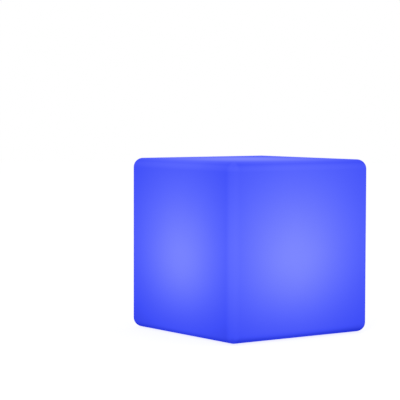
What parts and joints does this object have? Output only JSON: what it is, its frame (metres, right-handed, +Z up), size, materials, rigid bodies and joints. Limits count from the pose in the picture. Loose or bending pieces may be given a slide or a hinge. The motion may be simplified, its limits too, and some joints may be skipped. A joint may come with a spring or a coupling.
{
  "type": "led cube light",
  "caption": "Hollow glowing cube seat light with rounded edges, and a screwed-in rechargeable LED module with button and covered charging jack underneath.",
  "frame": {"origin": "on the floor, at the middle of the cube's footprint, in the plane of the feet's treads", "axes": "+Z up; -Y is the front, the wide face on the right of the picture; +X to the right seen from the front"},
  "size_m": [0.4, 0.4, 0.4024],
  "materials": {
    "milky_polyethylene": "satin",
    "insert_brass": "satin",
    "black_rubber": "matte",
    "grey_silicone": "matte",
    "screw_steel": "satin",
    "housing_abs": "satin",
    "battery_can": "satin",
    "nickel_strip": "satin",
    "battery_sleeve": "gloss",
    "black_foam": "matte",
    "green_board": "satin",
    "chip_epoxy": "matte",
    "ferrite": "matte",
    "capacitor_sleeve": "gloss",
    "white_nylon": "satin",
    "lead_red_black": "satin",
    "lead_ribbon": "satin",
    "white_abs": "satin",
    "white_board": "satin",
    "led_package": "gloss",
    "receiver_epoxy": "gloss",
    "frosted_polycarbonate": "satin",
    "button_abs": "satin",
    "switch_plastic": "satin",
    "black_nylon": "satin",
    "contact_nickel": "polished",
    "clear_acrylic": "gloss"
  },
  "bodies": {
    "cube": {"cube_shell": "milky_polyethylene", "threaded_inserts": "insert_brass", "rubber_feet": "black_rubber", "flange_gasket": "grey_silicone", "flange_screws": "screw_steel", "module_housing": "housing_abs", "battery_cells": "battery_can", "battery_links": "nickel_strip", "battery_wrap": "battery_sleeve", "battery_foam": "black_foam", "battery_clamp": "housing_abs", "clamp_screws": "screw_steel", "main_board": "green_board", "board_screws": "screw_steel", "driver_chips": "chip_epoxy", "power_inductor": "ferrite", "capacitors": "capacitor_sleeve", "board_connectors": "white_nylon", "lead_plugs": "white_nylon", "battery_leads": "lead_red_black", "jack_leads": "lead_red_black", "led_harness": "lead_ribbon", "deck_plate": "white_abs", "led_board": "white_board", "led_board_screws": "screw_steel", "colour_leds": "led_package", "remote_receiver": "receiver_epoxy", "diffuser_dome": "frosted_polycarbonate", "dome_screws": "screw_steel", "button_retainer": "white_abs", "retainer_screws": "screw_steel", "button_seal": "grey_silicone", "push_switch": "switch_plastic", "charging_jack": "black_nylon", "jack_pin": "contact_nickel", "jack_nut": "contact_nickel", "jack_washer": "black_rubber", "port_cover_anchor": "black_rubber", "charge_light_pipe": "clear_acrylic", "charge_led": "led_package"},
    "power_button": {"power_button": "button_abs", "switch_plunger": "switch_plastic"},
    "port_cover": {"port_cover": "black_rubber"}
  },
  "joints": [
    {"name": "power_button_press", "type": "slide", "parent": "cube", "child": "power_button", "axis": [0, 0, 1], "range_m": [0, 0.0015], "stiffness_N_per_m": 350, "springref_m": -0.003},
    {"name": "port_cover_swing", "type": "hinge", "parent": "cube", "child": "port_cover", "pos_m": [-0.012, 0.0375, 0.0102], "axis": [0, 1, 0], "range_deg": [0, 120]}
  ]
}
